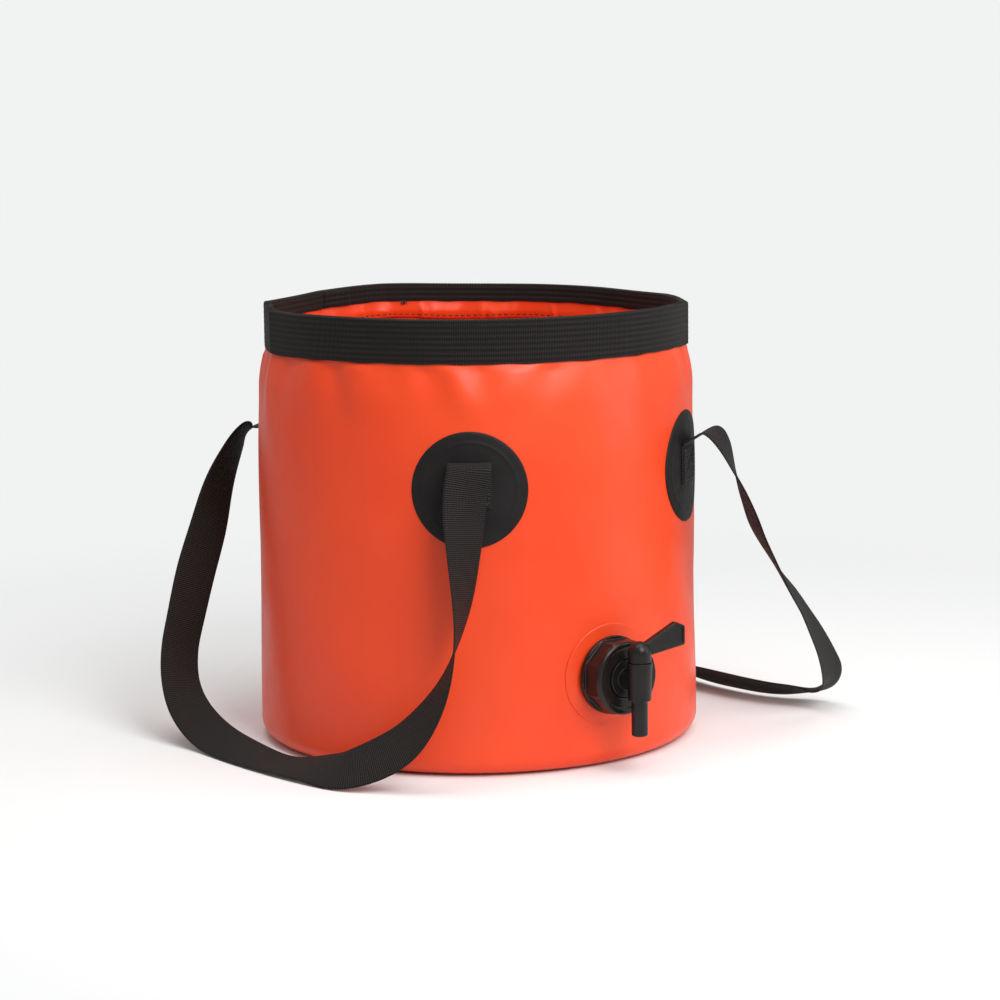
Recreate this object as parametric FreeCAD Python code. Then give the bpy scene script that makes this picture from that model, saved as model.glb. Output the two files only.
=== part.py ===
"""Collapsible PVC water bucket with a spigot tap, a webbing-bound rim and two strap handles.

Frame: origin at the centre of the base's underside, +Z up. The tap points along -Y and the two
handles hang on the -X and +X sides. Units are millimetres.
"""
import FreeCAD, Part
import math
import os

V = FreeCAD.Vector

# --- bucket ---------------------------------------------------------------------------------
HEIGHT = 260.0            # floor to the top of the rim binding
WALL_R_BASE = 132.0       # outside radius just above the base corner
WALL_R_SHOULDER = 130.0   # outside radius where the wall starts to gather
WALL_R_RIM = 125.8        # outside radius under the rim binding
GATHER = 10.0             # height over which the wall gathers below the binding
SHEET = 0.9               # coated PVC fabric
CORNER_R = 9.0            # outside radius between the wall and the base
BASE_SHEET = 1.0          # base panel
TURN_IN = 5.0             # width of the wall's weld flange on the base panel
BASE_MARGIN = 2.0         # how far the base panel stays inside the corner's start
SEAM_TAPE_W = 16.0        # tape over the wall's vertical joint

# --- rim ------------------------------------------------------------------------------------
BINDING_H = 25.0          # outside leg of the webbing binding
BINDING_IN_H = 11.0       # inside leg
BINDING_T = 1.2
HOOP_H = 18.0             # plastic strip that keeps the mouth round
HOOP_T = 1.2
FACING_DROP = 30.0        # the inner facing ends this far below the rim's top

# --- handle patches, anchors and straps -----------------------------------------------------
PATCH_R = 33.0
PATCH_T = 1.0
PATCH_DROP = 95.0         # from the top of the rim to the middle of a patch
PATCH_HALF_ANGLE = 36.5   # from the tap's direction to a front patch
STRAP_W = 25.0
STRAP_T = 1.3
ANCHOR_BELOW = 10.0       # lower end of the sewn strap end, below the patch's middle
ANCHOR_ABOVE = 15.5       # where the strap leaves the patch, above the patch's middle
FOLD_R = 2.6              # bend of the strap over the sewn end
STRAP_GAP = 2.0           # free step between the sewn fold and the hanging strap

# --- tap ------------------------------------------------------------------------------------
TAP_Z = 54.5              # height of the tap's centre line
WELD_FLANGE_R = 30.0
WELD_FLANGE_T = 1.2
NECK_FLANGE_R = 24.0
NECK_FLANGE_T = 2.0
NECK_R = 14.0
NECK_BORE_R = 10.0
NECK_LENGTH = 7.8         # how far the neck stands out past the collar's back
THREAD_H = 1.5
THREAD_W = 1.4
THREAD_PITCH = 3.0
WASHER_T = 1.5
WASHER_BORE_R = 8.5
TAP_FLANGE_R = 15.0
TAP_FLANGE_T = 2.5
COLLAR_LIP_R = 22.7        # round lip at the collar's back
COLLAR_R_BACK = 22.4       # corners of the facets at the lip
COLLAR_R_FRONT = 21.9      # corners of the facets at the bezel
COLLAR_R_FACE = 21.2       # round bezel round the collar's face
COLLAR_FACETS = 8
BEZEL_W = 3.4
BEZEL_ROUND = 1.7
FACE_RECESS_R = 17.6
FACE_RECESS = 1.0
COLLAR_WEB_T = 2.5
COLLAR_HOLE_R = 11.5
COLLAR_GAP = 0.4          # clearance of the collar to what it turns over
WALL_GAP = 0.19           # clearance of its lip to the weld flange where the wall stands out most
LIP_W = 2.6
BOSS_R = 11.0             # round face of the tap inside the collar's hole
BOSS_T = 2.5
BARREL_AXIS = 18.0        # from the neck's end to the barrel's vertical axis
BARREL_R = 7.3            # at the top of the barrel
BARREL_FOOT_R = 6.6       # at its lower end
BARREL_BOTTOM = 10.4      # below the tap's centre line
BARREL_TOP = 11.2         # above the tap's centre line
PIPE_R = 6.2
PIPE_BORE_R = 3.5
NOZZLE_R = 4.7
NOZZLE_BORE_R = 3.0
NOZZLE_TIP = 31.2         # below the tap's centre line
NOZZLE_TAPER = 0.8
NOZZLE_CHAMFER = 0.7
PLUG_R = 5.0
PLUG_FIT = 0.05           # radial running clearance of the plug
PLUG_FLOOR = 8.0          # below the tap's centre line
PORT_R = 3.0
RING_WIRE_R = 0.44        # O-ring section
RING_FIT = 0.06
RING_OFFSET = 7.0         # O-rings above and below the port
STEM_W = 4.8              # square drive between the plug and the lever
STEM_FIT = 0.1
STEM_H = 5.5
DOME_R = 6.7
DOME_GAP = 0.3
DOME_SKIRT = 5.2
LEVER_REACH = 31.4        # from the barrel's axis to the paddle's end
LEVER_SHOULDER = 25.4     # from the barrel's axis to the paddle's highest corner
LEVER_ROOT = (-2.4, 5.1)  # lower and upper edge at the dome, from the dome's centre
LEVER_PEAK = 14.9         # highest corner, from the dome's centre
LEVER_END = (1.2, 12.1)   # lower and upper edge at the paddle's end, from the dome's centre
LEVER_ROUND = 1.2
LEVER_T = 4.0
LEVER_BORDER = 1.4
LEVER_RECESS = 0.9

# Routes of the two hanging straps: x, y, z of the strap's middle, then the heading and the
# tilt of its width in degrees. Each starts at its front anchor and ends at its rear anchor.
LEFT_ROUTE = [
    (-83.5, -113, 179, -36, 0), (-85, -114, 174, -34, 0), (-87, -114, 165, -27, 0),
    (-89, -115, 150, -11, 0),
    (-91, -117, 130, 9, 0), (-94, -119, 103, 31, 0), (-101, -120, 75, 55, 0),
    (-110, -117, 52, 72, 10), (-123, -109, 31, 89, 28), (-135, -97, 19, 88, 44),
    (-148, -79, 10.5, 45, 46), (-152, -54, 7.5, 20, 25), (-156, -22, 4, 10, 8),
    (-159, 9, 4.5, 0, 15), (-161, 43, 8, -5, 25), (-163, 66, 19, 5, 25),
    (-161, 82, 34, 10, 12), (-155, 93, 52, 5, 5), (-147, 98, 72, -3, 0),
    (-138, 101, 97, -9, 0), (-127, 104, 122, -1, 0), (-117, 108, 145, 15, 0),
    (-106, 112, 162, 28, 0), (-96, 115, 174, 35, 0), (-88, 115.5, 179.5, 37, 0),
]
RIGHT_ROUTE = [
    (83, -113, 184, 35, 2), (85, -118, 186, 33, 4), (87, -123, 183, 32, 5),
    (90, -127, 175, 38, 3), (94, -130, 162, 52, 2), (98, -132, 151, 63, 5),
    (104, -132, 138, 70, 8), (110, -131, 126, 72, 10), (118, -131, 113, 71, 14),
    (127, -130, 101, 68, 20), (136, -128, 90, 65, 24), (147, -126, 78, 60, 28),
    (159, -122, 64, 52, 30), (172, -117, 49, 42, 30), (185, -110, 33, 30, 25),
    (195, -101, 20, 22, 10), (198, -88, 11, 18, -8), (193, -76, 9, 22, -20),
    (185, -64, 8.5, 22, -28), (178, -48, 9, 14, -33), (174, -28, 9.5, 6, -35),
    (172, -4, 9.5, 3, -35), (172, 22, 9.5, 3, -30), (169, 48, 11, 12, -20),
    (161, 74, 23, 28, -5), (147, 94, 48, 55, 0), (131, 106, 80, 90, 0),
    (117, 113, 109, 118, 0), (105, 118, 136, 131, 0), (97, 120, 155, 139, 0),
    (92, 120, 169, 142, 0), (89, 118, 177, 143, 0), (85, 114.5, 180, 143, 0),
]
ROUTE_TOP = 180.5         # anchor height and wall radii, at the base and the shoulder,
ROUTE_WALL = (132.0, 130.0)  # that the points are chosen for
ROUTE_STEPS = 2           # straight pieces between two points of a route

# --- what follows from them -----------------------------------------------------------------
BINDING_LOW = HEIGHT - BINDING_H
SHOULDER_Z = BINDING_LOW - GATHER
CORNER_TOP = BASE_SHEET + CORNER_R
WALL_TOP = HEIGHT - BINDING_T
PATCH_Z = HEIGHT - PATCH_DROP
ANCHOR_LOW_Z = PATCH_Z - ANCHOR_BELOW
ANCHOR_TOP_Z = PATCH_Z + ANCHOR_ABOVE
ANCHORS = {
    "front_left": -PATCH_HALF_ANGLE,
    "front_right": PATCH_HALF_ANGLE,
    "rear_right": 180 - PATCH_HALF_ANGLE,
    "rear_left": PATCH_HALF_ANGLE - 180,
}


def wall_radius(z, base=WALL_R_BASE, shoulder=WALL_R_SHOULDER):
    """Outside radius of the straight part of the wall at height z."""
    share = (z - CORNER_TOP) / (SHOULDER_Z - CORNER_TOP)
    return base + share * (shoulder - base)


WALL_R_TAP = wall_radius(TAP_Z)
WALL_R_LIP = max(wall_radius(TAP_Z - COLLAR_LIP_R), wall_radius(TAP_Z + COLLAR_LIP_R))
COLLAR_BACK = WALL_R_LIP + WELD_FLANGE_T + WALL_GAP
NECK_END = COLLAR_BACK + NECK_LENGTH
TAP_BACK = NECK_END + WASHER_T
TAP_FRONT = TAP_BACK + TAP_FLANGE_T
COLLAR_WEB = TAP_FRONT + COLLAR_GAP
COLLAR_FACE = COLLAR_WEB + COLLAR_WEB_T
BARREL_Y = NECK_END + BARREL_AXIS
DOME_LOW = TAP_Z + BARREL_TOP + DOME_GAP


# --- helpers --------------------------------------------------------------------------------
def face(points):
    """Flat face in the XZ plane from (radius, height) points."""
    corners = [V(r, 0, z) for r, z in points]
    return Part.Face(Part.makePolygon(corners + corners[:1]))


def revolve(points, angle=360.0, start=0.0):
    """Closed profile of (radius, height) points turned about Z, from the heading start."""
    solid = face(points).revolve(V(0, 0, 0), V(0, 0, 1), angle)
    solid.rotate(V(0, 0, 0), V(0, 0, 1), start)
    return solid


def outward(angle):
    """Unit vector away from the axis, angle degrees round from -Y towards +X."""
    a = math.radians(angle)
    return V(math.sin(a), -math.cos(a), 0)


def wall_band(inner, outer, low, high):
    """Ring that follows the wall, between two offsets from its outside face."""
    return revolve([
        (wall_radius(low) + inner, low), (wall_radius(low) + outer, low),
        (wall_radius(high) + outer, high), (wall_radius(high) + inner, high),
    ])


def radial_rod(radius, start, end, z, angle=0.0):
    """Cylinder along the outward direction, between two distances from the bucket's axis."""
    direction = outward(angle)
    return Part.makeCylinder(radius, end - start, direction * start + V(0, 0, z), direction)


def wall_disc(radius, inner, outer, z, angle=0.0):
    """Round piece that lies on the wall."""
    band = wall_band(inner, outer, z - radius - 1, z + radius + 1)
    return band.common(radial_rod(radius, 0.5 * WALL_R_BASE, 2 * WALL_R_BASE, z, angle))


def arc_points(centre_r, centre_z, radius, first, last, steps):
    """Points of an arc in the (radius, height) plane, angles in degrees."""
    turns = [math.radians(first + (last - first) * i / steps) for i in range(steps + 1)]
    return [(centre_r + radius * math.cos(t), centre_z + radius * math.sin(t)) for t in turns]


# --- bucket ---------------------------------------------------------------------------------
def body_wall():
    centre_r = WALL_R_BASE - CORNER_R
    outer = [(centre_r - TURN_IN, BASE_SHEET)]
    outer += arc_points(centre_r, CORNER_TOP, CORNER_R, -90, 0, 8)
    outer += [(WALL_R_SHOULDER, SHOULDER_Z), (WALL_R_RIM, BINDING_LOW), (WALL_R_RIM, WALL_TOP)]
    inner = [(centre_r - TURN_IN, BASE_SHEET + SHEET)]
    inner += arc_points(centre_r, CORNER_TOP, CORNER_R - SHEET, -90, 0, 8)
    inner += [(WALL_R_SHOULDER - SHEET, SHOULDER_Z), (WALL_R_RIM - SHEET, BINDING_LOW),
              (WALL_R_RIM - SHEET, WALL_TOP)]
    wall = revolve(outer + inner[::-1])
    return wall.cut(radial_rod(NECK_R, 0.5 * WALL_R_BASE, 2 * WALL_R_BASE, TAP_Z))


def base_panel():
    return Part.makeCylinder(WALL_R_BASE - CORNER_R - BASE_MARGIN, BASE_SHEET)


def wall_seam_tape():
    half = 0.5 * SEAM_TAPE_W
    band = wall_band(0, SHEET, CORNER_TOP + 1, SHOULDER_Z - 1)
    keep = Part.makeBox(2 * half, 2 * WALL_R_BASE, HEIGHT, V(-half, 0, 0))
    return band.common(keep)


def rim_hoop():
    top = WALL_TOP - 2 * BINDING_T
    outer = WALL_R_RIM - SHEET
    return revolve([(outer - HOOP_T, top - HOOP_H), (outer, top - HOOP_H),
                    (outer, top), (outer - HOOP_T, top)])


def rim_facing():
    """Inner band of wall sheet over the hoop, with its free edge below the binding."""
    low = HEIGHT - FACING_DROP
    wall_in = WALL_R_RIM - SHEET
    slope = (WALL_R_SHOULDER - WALL_R_RIM) / GATHER
    low_r = wall_in + slope * (BINDING_LOW - low)
    hoop_in = wall_in - HOOP_T
    step_z = WALL_TOP - 2 * BINDING_T - HOOP_H - 1
    return revolve([
        (low_r, low), (wall_in, BINDING_LOW), (hoop_in, step_z), (hoop_in, WALL_TOP),
        (hoop_in - SHEET, WALL_TOP), (hoop_in - SHEET, step_z),
        (wall_in - SHEET, BINDING_LOW), (low_r - SHEET, low),
    ])


def rim_binding():
    inner = WALL_R_RIM - 2 * SHEET - HOOP_T
    outer = WALL_R_RIM + BINDING_T
    return revolve([
        (WALL_R_RIM, BINDING_LOW), (outer, BINDING_LOW), (outer, HEIGHT - 0.8),
        (outer - 0.8, HEIGHT), (inner - BINDING_T + 0.8, HEIGHT),
        (inner - BINDING_T, HEIGHT - 0.8), (inner - BINDING_T, HEIGHT - BINDING_IN_H),
        (inner, HEIGHT - BINDING_IN_H), (inner, WALL_TOP), (WALL_R_RIM, WALL_TOP),
    ])


# --- patches and sewn strap ends ------------------------------------------------------------
def handle_patch(angle):
    return wall_disc(PATCH_R, 0, PATCH_T, PATCH_Z, angle)


def fold_centre_radius():
    """Distance from the bucket's axis to the middle of the strap where it leaves the patch."""
    return wall_radius(ANCHOR_TOP_Z - FOLD_R) + PATCH_T + 0.5 * STRAP_T + FOLD_R


def strap_anchor(angle):
    """Sewn strap end on the patch, with the start of the fold that turns outwards."""
    half = 0.5 * STRAP_T
    turn_z = ANCHOR_TOP_Z - FOLD_R
    centre_r = fold_centre_radius()
    back = [(wall_radius(ANCHOR_LOW_Z) + PATCH_T, ANCHOR_LOW_Z)]
    back += arc_points(centre_r, turn_z, FOLD_R + half, 180, 90, 5)
    front = [(wall_radius(ANCHOR_LOW_Z) + PATCH_T + STRAP_T, ANCHOR_LOW_Z)]
    front += arc_points(centre_r, turn_z, FOLD_R - half, 180, 90, 5)
    spread = math.degrees(STRAP_W / wall_radius(PATCH_Z))
    return revolve(back + front[::-1], spread, angle - 90 - 0.5 * spread)


# --- straps ---------------------------------------------------------------------------------
def smooth(values, i, t):
    """Catmull-Rom value between entries i and i + 1 of a list of vectors."""
    p0 = values[max(i - 1, 0)]
    p1 = values[i]
    p2 = values[i + 1]
    p3 = values[min(i + 2, len(values) - 1)]
    return (p1 * 2 + (p2 - p0) * t + (p0 * 2 - p1 * 5 + p2 * 4 - p3) * (t * t)
            + (p1 * 3 - p0 - p2 * 3 + p3) * (t ** 3)) * 0.5


def width_vector(heading, tilt):
    h, k = math.radians(heading), math.radians(tilt)
    return V(math.cos(h) * math.cos(k), math.sin(h) * math.cos(k), math.sin(k))


def on_route(x, y, z):
    """Point of a route, moved with the anchors' height and with the wall beside it."""
    radius = math.hypot(x, y)
    moved = radius + wall_radius(z) - wall_radius(z, *ROUTE_WALL)
    rise = (ANCHOR_TOP_Z - ROUTE_TOP) * (z / ROUTE_TOP) ** 2
    return V(x * moved / radius, y * moved / radius, z + rise)


def hanging_strap(route, front, rear):
    """Webbing ribbon from the front anchor's fold to the rear anchor's fold."""
    start_r = fold_centre_radius() + STRAP_GAP
    first = outward(ANCHORS[front]) * start_r + V(0, 0, ANCHOR_TOP_Z)
    last = outward(ANCHORS[rear]) * start_r + V(0, 0, ANCHOR_TOP_Z)
    middles = [first] + [on_route(x, y, z) for x, y, z, h, k in route] + [last]
    widths = [width_vector(ANCHORS[front], 0)]
    widths += [width_vector(h, k) for x, y, z, h, k in route]
    end_width = width_vector(ANCHORS[rear], 0)
    widths += [end_width * math.copysign(1, end_width.dot(widths[-1]))]
    line = []
    across = []
    for i in range(len(middles) - 1):
        for step in range(ROUTE_STEPS):
            t = step / ROUTE_STEPS
            line.append(smooth(middles, i, t))
            across.append(smooth(widths, i, t))
    line.append(last)
    across.append(widths[-1])
    sections = []
    for i, middle in enumerate(line):
        along = line[min(i + 1, len(line) - 1)] - line[max(i - 1, 0)]
        if i == 0:
            along = outward(ANCHORS[front])
        if i == len(line) - 1:
            along = outward(ANCHORS[rear]) * -1
        along.normalize()
        side = across[i] - along * across[i].dot(along)
        side.normalize()
        out = along.cross(side)
        a = side * (0.5 * STRAP_W)
        b = out * (0.5 * STRAP_T)
        corners = [middle + a + b, middle - a + b, middle - a - b, middle + a - b]
        sections.append(Part.makePolygon(corners + corners[:1]))
    length = sum((line[i + 1] - line[i]).Length for i in range(len(line) - 1))
    print(f"strap from {front} to {rear}: length {length:.0f} mm")
    strap = Part.makeLoft(sections, True, True)
    if strap.Volume < 0:
        strap.reverse()
    return strap


# --- tap ------------------------------------------------------------------------------------
def tube(outer, bore, start, end, z=TAP_Z):
    return radial_rod(outer, start, end, z).cut(radial_rod(bore, start - 1, end + 1, z))


def tap_weld_flange():
    disc = wall_disc(WELD_FLANGE_R, 0, WELD_FLANGE_T, TAP_Z)
    return disc.cut(radial_rod(NECK_R, 0.5 * WALL_R_BASE, 2 * WALL_R_BASE, TAP_Z))


def tap_neck():
    neck = wall_disc(NECK_FLANGE_R, -SHEET - NECK_FLANGE_T, -SHEET, TAP_Z)
    neck = neck.fuse(radial_rod(NECK_R, WALL_R_TAP - SHEET - NECK_FLANGE_T, NECK_END, TAP_Z))
    crest = NECK_END - THREAD_W
    while crest - THREAD_W > COLLAR_BACK:
        neck = neck.fuse(radial_rod(NECK_R + THREAD_H, crest - THREAD_W, crest, TAP_Z))
        crest -= THREAD_PITCH
    neck = neck.cut(radial_rod(NECK_BORE_R, 0.5 * WALL_R_BASE, NECK_END + 1, TAP_Z))
    return neck.removeSplitter()


def neck_washer():
    return tube(NECK_R, WASHER_BORE_R, NECK_END, TAP_BACK)


def collar_nut():
    """Faceted nut that turns over the threaded neck and holds the tap's flange."""
    corners = []
    for radius, start in ((COLLAR_R_BACK, COLLAR_BACK),
                          (COLLAR_R_FRONT, COLLAR_FACE - BEZEL_ROUND)):
        ring = []
        for i in range(COLLAR_FACETS):
            a = 2 * math.pi * (i + 0.5) / COLLAR_FACETS
            ring.append(V(radius * math.cos(a), -start, TAP_Z + radius * math.sin(a)))
        corners.append(Part.makePolygon(ring + ring[:1]))
    nut = Part.makeLoft(corners, True, True)
    bezel = radial_rod(COLLAR_R_FACE, COLLAR_FACE - BEZEL_W, COLLAR_FACE, TAP_Z)
    front = [e for e in bezel.Edges if e.BoundBox.YMax < -COLLAR_FACE + 0.01]
    nut = nut.fuse(bezel.makeFillet(BEZEL_ROUND, front))
    nut = nut.fuse(radial_rod(COLLAR_LIP_R, COLLAR_BACK, COLLAR_BACK + LIP_W, TAP_Z))
    nut = nut.cut(radial_rod(FACE_RECESS_R, COLLAR_FACE - FACE_RECESS, COLLAR_FACE + 1, TAP_Z))
    bore = NECK_R + THREAD_H + COLLAR_GAP
    nut = nut.cut(radial_rod(bore, COLLAR_BACK - 1, COLLAR_WEB, TAP_Z))
    return nut.cut(radial_rod(COLLAR_HOLE_R, COLLAR_BACK, COLLAR_FACE + 1, TAP_Z))


def barrel_rod(radius, low, high):
    """Cylinder on the barrel's vertical axis, heights from the tap's centre line."""
    return Part.makeCylinder(radius, high - low, V(0, -BARREL_Y, TAP_Z + low))


def barrel_cone(low_radius, high_radius, low, high):
    """Cone on the barrel's vertical axis, heights from the tap's centre line."""
    return Part.makeCone(low_radius, high_radius, high - low, V(0, -BARREL_Y, TAP_Z + low))


def tap_body():
    """Flange, inlet pipe, barrel and nozzle in one moulding."""
    body = radial_rod(TAP_FLANGE_R, TAP_BACK, TAP_FRONT, TAP_Z)
    body = body.fuse(radial_rod(BOSS_R, TAP_FRONT, TAP_FRONT + BOSS_T, TAP_Z))
    body = body.fuse(radial_rod(PIPE_R, TAP_FRONT, BARREL_Y, TAP_Z))
    body = body.fuse(barrel_cone(BARREL_FOOT_R, BARREL_R, -BARREL_BOTTOM, BARREL_TOP))
    body = body.fuse(barrel_cone(NOZZLE_R, BARREL_FOOT_R, -BARREL_BOTTOM - NOZZLE_TAPER,
                                 -BARREL_BOTTOM))
    tip = -NOZZLE_TIP + NOZZLE_CHAMFER
    body = body.fuse(barrel_rod(NOZZLE_R, tip, -BARREL_BOTTOM))
    body = body.fuse(barrel_cone(NOZZLE_R - NOZZLE_CHAMFER, NOZZLE_R, -NOZZLE_TIP, tip))
    body = body.cut(barrel_rod(PLUG_R, -PLUG_FLOOR, BARREL_TOP + 1))
    body = body.cut(barrel_rod(NOZZLE_BORE_R, -NOZZLE_TIP - 1, 0))
    body = body.cut(radial_rod(PIPE_BORE_R, TAP_BACK - 1, BARREL_Y, TAP_Z))
    return body.removeSplitter()


def valve_plug():
    """Turning plug: its port comes in from the side and leaves through its floor."""
    radius = PLUG_R - PLUG_FIT
    low = -PLUG_FLOOR + COLLAR_GAP
    plug = barrel_rod(radius, low, BARREL_TOP)
    stem_low = TAP_Z + BARREL_TOP
    plug = plug.fuse(Part.makeBox(STEM_W, STEM_W, STEM_H,
                                  V(-0.5 * STEM_W, -BARREL_Y - 0.5 * STEM_W, stem_low)))
    port = Part.makeCylinder(PORT_R, 2 * PLUG_R, V(0, -BARREL_Y, TAP_Z), V(-1, 0, 0))
    plug = plug.cut(port)
    plug = plug.cut(barrel_rod(PORT_R, low - 1, 0))
    groove_r = radius - 2 * RING_WIRE_R - RING_FIT
    for offset in (-RING_OFFSET + 1, RING_OFFSET):
        half = RING_WIRE_R + 2 * RING_FIT
        ring = barrel_rod(PLUG_R + 1, offset - half, offset + half)
        plug = plug.cut(ring.cut(barrel_rod(groove_r, offset - 2, offset + 2)))
    return plug


def plug_ring(offset):
    middle = PLUG_R - PLUG_FIT - RING_WIRE_R - 0.5 * RING_FIT
    return Part.makeTorus(middle, RING_WIRE_R, V(0, -BARREL_Y, TAP_Z + offset))


def paddle():
    """Flat blade along +X, with a raised border round a recess on both faces."""
    corners = [V(0.5 * DOME_R, 0, LEVER_ROOT[0]), V(LEVER_REACH, 0, LEVER_END[0]),
               V(LEVER_REACH, 0, LEVER_END[1]), V(LEVER_SHOULDER, 0, LEVER_PEAK),
               V(0.5 * DOME_R, 0, LEVER_ROOT[1])]
    outline = Part.Face(Part.makePolygon(corners + corners[:1]))
    blade = outline.extrude(V(0, LEVER_T, 0))
    blade.translate(V(0, -0.5 * LEVER_T, 0))
    far = [e for e in blade.Edges if e.BoundBox.YLength > 0.9 * LEVER_T
           and e.BoundBox.XLength < 0.01 and e.BoundBox.XMin > DOME_R]
    blade = blade.makeFillet(LEVER_ROUND, far)
    inner = Part.Face(outline.OuterWire.makeOffset2D(-LEVER_BORDER, 2))
    for side in (-1, 1):
        recess = inner.extrude(V(0, side * LEVER_RECESS, 0))
        recess.translate(V(0, side * (0.5 * LEVER_T - LEVER_RECESS), 0))
        blade = blade.cut(recess)
    return blade


def tap_lever():
    """Dome over the barrel with the flat paddle that a finger turns."""
    dome_centre = DOME_LOW + DOME_SKIRT
    dome = Part.makeCylinder(DOME_R, DOME_SKIRT, V(0, 0, DOME_LOW))
    dome = dome.fuse(Part.makeSphere(DOME_R, V(0, 0, dome_centre), V(0, 0, 1), 0, 90, 360))
    blade = paddle()
    blade.translate(V(0, 0, dome_centre))
    lever = dome.fuse(blade)
    socket = STEM_W + 2 * STEM_FIT
    lever = lever.cut(Part.makeBox(socket, socket, STEM_H + STEM_FIT,
                                   V(-0.5 * socket, -0.5 * socket, DOME_LOW - DOME_GAP)))
    lever.translate(V(0, -BARREL_Y, 0))
    return lever


# --- all nodes ------------------------------------------------------------------------------
def nodes():
    made = {
        "body_wall": body_wall(),
        "base_panel": base_panel(),
        "wall_seam_tape": wall_seam_tape(),
        "rim_hoop": rim_hoop(),
        "rim_facing": rim_facing(),
        "rim_binding": rim_binding(),
        "tap_weld_flange": tap_weld_flange(),
        "tap_neck": tap_neck(),
        "neck_washer": neck_washer(),
        "collar_nut": collar_nut(),
        "tap_body": tap_body(),
        "valve_plug": valve_plug(),
        "plug_ring_upper": plug_ring(RING_OFFSET),
        "plug_ring_lower": plug_ring(-RING_OFFSET + 1),
        "tap_lever": tap_lever(),
        "handle_strap_left": hanging_strap(LEFT_ROUTE, "front_left", "rear_left"),
        "handle_strap_right": hanging_strap(RIGHT_ROUTE, "front_right", "rear_right"),
    }
    for place, angle in ANCHORS.items():
        made["handle_patch_" + place] = handle_patch(angle)
        made["strap_anchor_" + place] = strap_anchor(angle)
    return made


os.makedirs("parts", exist_ok=True)
for name, shape in nodes().items():
    shape.exportStep("parts/" + name + ".step")
    box = shape.BoundBox
    print(f"{name}: {len(shape.Solids)} solid, valid {shape.isValid()}, "
          f"{shape.Volume:.0f} mm3, z {box.ZMin:.2f} to {box.ZMax:.2f}")
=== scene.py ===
"""Looks of a collapsible orange bucket with a spigot tap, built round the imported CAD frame.

Units are metres, except that lengths written as plain numbers times MM are millimetres.
The row frame has the tap at -Y. An angle named turn is measured round the bucket's axis from
the tap's direction towards +X, in radians unless it is called degrees.
"""
import math

import bmesh
import bpy
import numpy as np
from mathutils import Matrix, Vector

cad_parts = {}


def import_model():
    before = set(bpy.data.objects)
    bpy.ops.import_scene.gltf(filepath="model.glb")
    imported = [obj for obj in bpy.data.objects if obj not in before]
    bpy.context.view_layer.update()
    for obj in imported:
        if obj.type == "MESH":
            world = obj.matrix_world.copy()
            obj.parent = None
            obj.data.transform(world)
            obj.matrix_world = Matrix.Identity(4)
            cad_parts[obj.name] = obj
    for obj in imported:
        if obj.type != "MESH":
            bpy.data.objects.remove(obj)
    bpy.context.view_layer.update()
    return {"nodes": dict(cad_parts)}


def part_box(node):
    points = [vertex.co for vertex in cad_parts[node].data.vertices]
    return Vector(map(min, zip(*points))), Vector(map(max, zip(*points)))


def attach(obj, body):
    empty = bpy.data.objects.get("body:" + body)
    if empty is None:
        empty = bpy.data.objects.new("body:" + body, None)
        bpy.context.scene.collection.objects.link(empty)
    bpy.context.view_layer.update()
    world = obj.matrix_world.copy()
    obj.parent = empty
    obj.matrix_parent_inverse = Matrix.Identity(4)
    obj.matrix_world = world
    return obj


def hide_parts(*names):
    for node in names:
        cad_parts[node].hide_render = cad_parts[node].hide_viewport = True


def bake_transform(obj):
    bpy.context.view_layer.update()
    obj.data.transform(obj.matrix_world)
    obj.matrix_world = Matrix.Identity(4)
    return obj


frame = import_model()

MM = 0.001
TAU = 2 * math.pi


# --- sizes taken from the frame -------------------------------------------------------------
def high(node):
    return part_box(node)[1]


def low(node):
    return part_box(node)[0]


HEIGHT = high("rim_binding")[2]
BAND_LOW = low("rim_binding")[2]
BAND_R = high("rim_binding")[0]
BASE_R = high("body_wall")[0]
PATCH_Z = 0.5 * (low("handle_patch_front_left")[2] + high("handle_patch_front_left")[2])
PATCH_R = 0.5 * (high("handle_patch_front_left")[2] - low("handle_patch_front_left")[2])
TAB_LOW = low("strap_anchor_front_left")[2]
TAP_Z = 0.5 * (low("tap_weld_flange")[2] + high("tap_weld_flange")[2])
BASE_SHEET = high("base_panel")[2]
BARREL_Y = 0.5 * (low("valve_plug")[1] + high("valve_plug")[1])

# --- sizes that the frame's boxes don't give ------------------------------------------------
SHEET = 0.9 * MM                    # coated cloth
CORNER_R = 9 * MM                   # between the wall and the base
TURN_IN = 5 * MM                    # wall's weld flange on the base
SHOULDER_R = 130 * MM               # wall where it starts to gather
GATHER = 10 * MM                    # from there up to the binding
BLOUSE = 24 * MM                    # height over which the cloth bulges out below the binding
BINDING_T = 1.2 * MM
BINDING_IN = 11 * MM                # inner leg of the binding
UNDER_BINDING = 0.3 * MM            # gap between the binding's top and the cloth in it
HOOP_T = 1.2 * MM
HOOP_H = 14 * MM
FACING_DROP = 22 * MM               # facing's lower edge below the rim's top
PATCH_T = 1.0 * MM
STRAP_W = 25 * MM
STRAP_T = 1.3 * MM
FOLD_R = 2.6 * MM                   # strap's bend over its sewn end
FOLD_TOP = 180.5 * MM
NECK_R = 14 * MM
PATCH_TURN = math.radians(36.5)     # from the tap to a front patch
VIEW_TURN = math.radians(35.3)      # from the camera's side of the bucket to the tap

PATCH_TURNS = {"front_left": -PATCH_TURN, "front_right": PATCH_TURN,
               "rear_right": math.pi - PATCH_TURN, "rear_left": PATCH_TURN - math.pi}
WALL_R_RIM = BAND_R - BINDING_T
SHOULDER_Z = BAND_LOW - GATHER
CORNER_TOP = BASE_SHEET + CORNER_R
ANCHOR_TOP = FOLD_TOP - FOLD_R


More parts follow.
